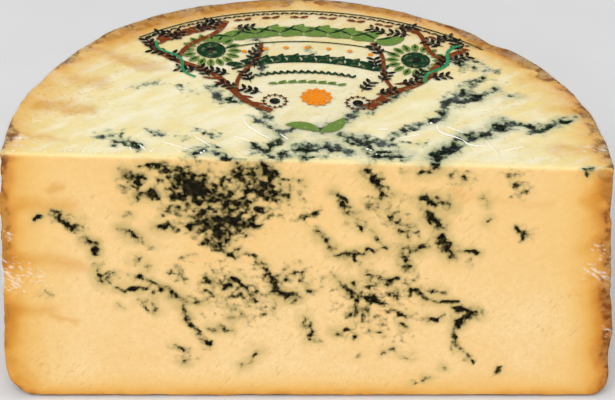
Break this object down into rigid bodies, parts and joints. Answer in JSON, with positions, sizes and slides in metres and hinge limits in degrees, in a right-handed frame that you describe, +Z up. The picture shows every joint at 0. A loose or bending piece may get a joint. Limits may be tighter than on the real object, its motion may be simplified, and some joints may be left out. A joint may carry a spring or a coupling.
{
  "type": "half wheel of blue stilton cheese",
  "caption": "Half a slice of a tall blue cheese drum in clear film: veined level cut and front cut, brown crust on the round side, sector label on top.",
  "frame": {"origin": "middle of the base's box, on the surface that the cheese stands on", "axes": "+X along the straight front cut, towards its right end; +Y from the front cut towards the round side; +Z up from the base to the level cut"},
  "size_m": [0.2045, 0.1028, 0.1003],
  "materials": {
    "cheese": "soft creamy paste with blue-green mould veins and a dry brown crust, under tight clear film with a soft gloss",
    "label": "clear plastic sheet with a printed pattern in greens, brown and orange"
  },
  "bodies": {
    "root": {"cheese": "cheese", "label": "label"}
  },
  "joints": []
}
